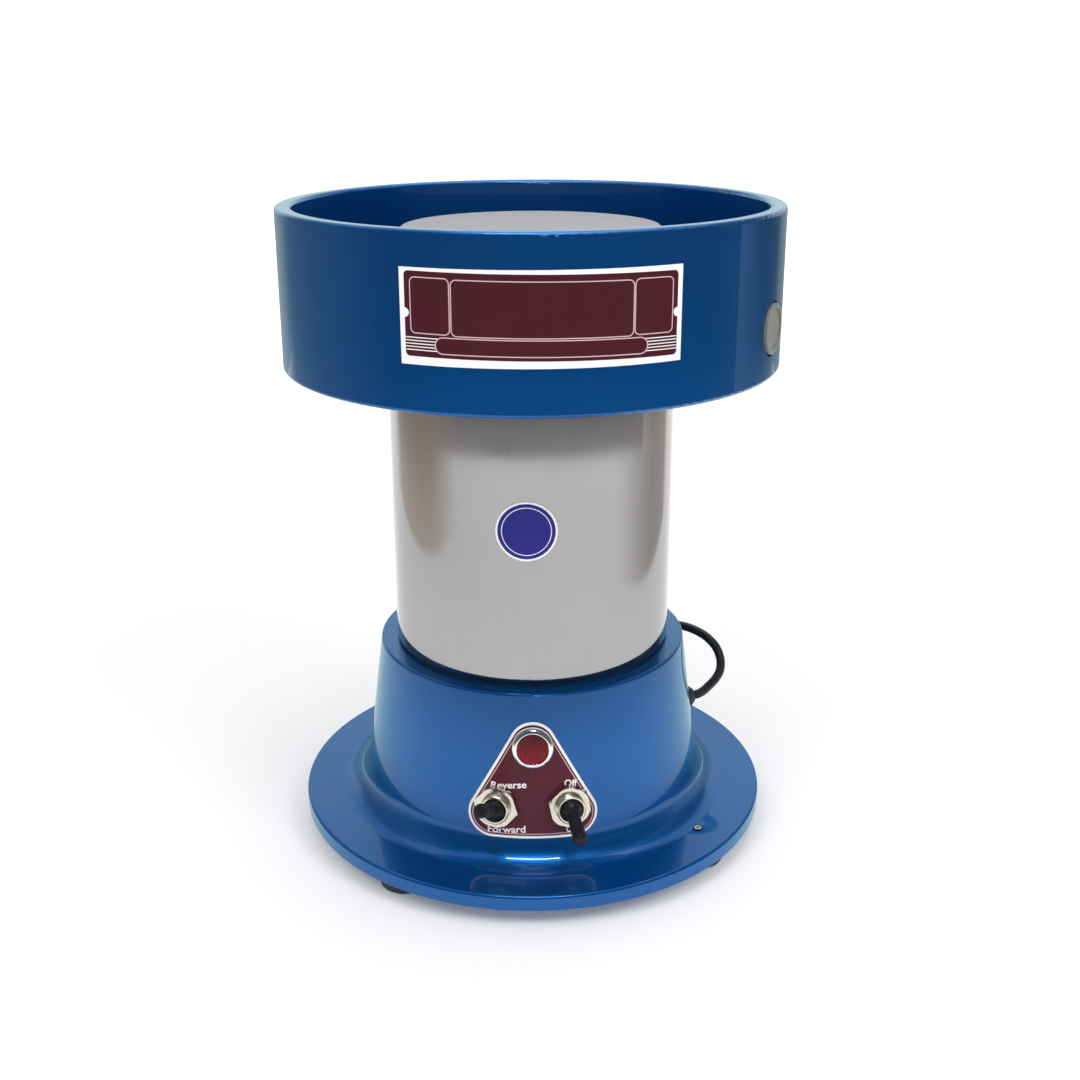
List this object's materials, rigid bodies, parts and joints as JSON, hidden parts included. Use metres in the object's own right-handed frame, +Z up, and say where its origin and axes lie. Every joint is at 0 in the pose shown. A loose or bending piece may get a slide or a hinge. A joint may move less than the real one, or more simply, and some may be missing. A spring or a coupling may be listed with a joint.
{
  "type": "watch crystal polishing machine",
  "caption": "Bench machine with an upright motor on a round flanged base, turning a flat lap disc inside a splash bowl to polish watch crystals; toggle switches and pilot lamp.",
  "frame": {"origin": "on the floor on the motor's axis, at the underside of the rubber feet", "axes": "+Z up along the motor's axis, -Y towards the front with its control panel, +X to the right as seen from the front"},
  "size_m": [0.2024, 0.2796, 0.2658],
  "materials": {
    "blue_paint": "gloss metallic",
    "shell_metal": "satin",
    "disc_metal": "fine turned, matt",
    "cast_metal": "as cast and machined",
    "bright_steel": "zinc plated",
    "sheet_steel": "plain sheet",
    "ground_steel": "ground",
    "core_steel": "stacked laminations",
    "copper_wire": "varnished copper",
    "nickel": "nickel plated",
    "chrome_trim": "polished",
    "black_rubber": "matt",
    "black_plastic": "moulded",
    "cord_black": "soft PVC",
    "brown_plastic": "phenolic",
    "label_maroon": "printed sheet",
    "badge_indigo": "printed film",
    "lens_red": "clear red",
    "cream_plastic": "moulded",
    "can_metal": "drawn can",
    "grey_plastic": "moulded",
    "red_wire": "PVC insulation"
  },
  "bodies": {
    "root": {"base_casting": "blue_paint", "bottom_cover": "sheet_steel", "cover_screws": "bright_steel", "rubber_feet": "black_rubber", "foot_screws": "bright_steel", "motor_gasket": "black_rubber", "motor_screws": "bright_steel", "motor_shell": "shell_metal", "lower_bracket": "cast_metal", "upper_bracket": "cast_metal", "tie_bolts": "bright_steel", "stator_core": "core_steel", "stator_windings": "copper_wire", "bearing_outer_rings": "ground_steel", "wave_washer": "bright_steel", "bowl": "blue_paint", "bowl_screws": "bright_steel", "shaft_seal": "black_rubber", "nameplate": "label_maroon", "badge": "badge_indigo", "control_plate": "label_maroon", "lamp_bezel": "chrome_trim", "lamp_lens": "lens_red", "lamp_holder": "cream_plastic", "lamp_nut": "nickel", "direction_switch_body": "brown_plastic", "direction_switch_bushing": "nickel", "direction_switch_nut": "nickel", "power_switch_body": "brown_plastic", "power_switch_bushing": "nickel", "power_switch_nut": "nickel", "switch_back_nuts": "nickel", "capacitor": "can_metal", "capacitor_clip": "bright_steel", "terminal_block": "cream_plastic", "inner_screws": "bright_steel", "internal_leads": "red_wire", "cord_grommet": "black_rubber", "cord_lead": "cord_black", "cord_coil": "cord_black", "coil_tie": "cord_black", "plug_body": "black_plastic", "plug_pins": "nickel"},
    "rotor": {"motor_shaft": "ground_steel", "rotor_core": "core_steel", "rotor_cage": "cast_metal", "bearing_inner_rings": "ground_steel", "bearing_balls": "ground_steel", "lap_hub": "cast_metal", "hub_grub_screw": "bright_steel", "lap_disc": "disc_metal", "disc_screws": "bright_steel"},
    "direction_lever": {"direction_switch_lever": "black_plastic"},
    "power_lever": {"power_switch_lever": "black_plastic"},
    "side_plug": {"side_plug": "grey_plastic", "plug_seal": "black_rubber"}
  },
  "joints": [
    {"name": "rotor_spin", "type": "hinge", "parent": "root", "child": "rotor", "pos_m": [0, 0, 0.14], "axis": [0, 0, 1], "continuous": true},
    {"name": "direction_toggle", "type": "hinge", "parent": "root", "child": "direction_lever", "pos_m": [-0.01528, -0.0751, 0.03634], "axis": [0.9296, -0.1441, 0.3392], "range_deg": [0, 44]},
    {"name": "power_toggle", "type": "hinge", "parent": "root", "child": "power_lever", "pos_m": [0.01528, -0.0751, 0.03634], "axis": [0.9799, 0.1994, 0], "range_deg": [-44, 0]},
    {"name": "plug_pull", "type": "slide", "parent": "root", "child": "side_plug", "axis": [0.9063, -0.4226, 0], "range_m": [0, 0.012]}
  ]
}
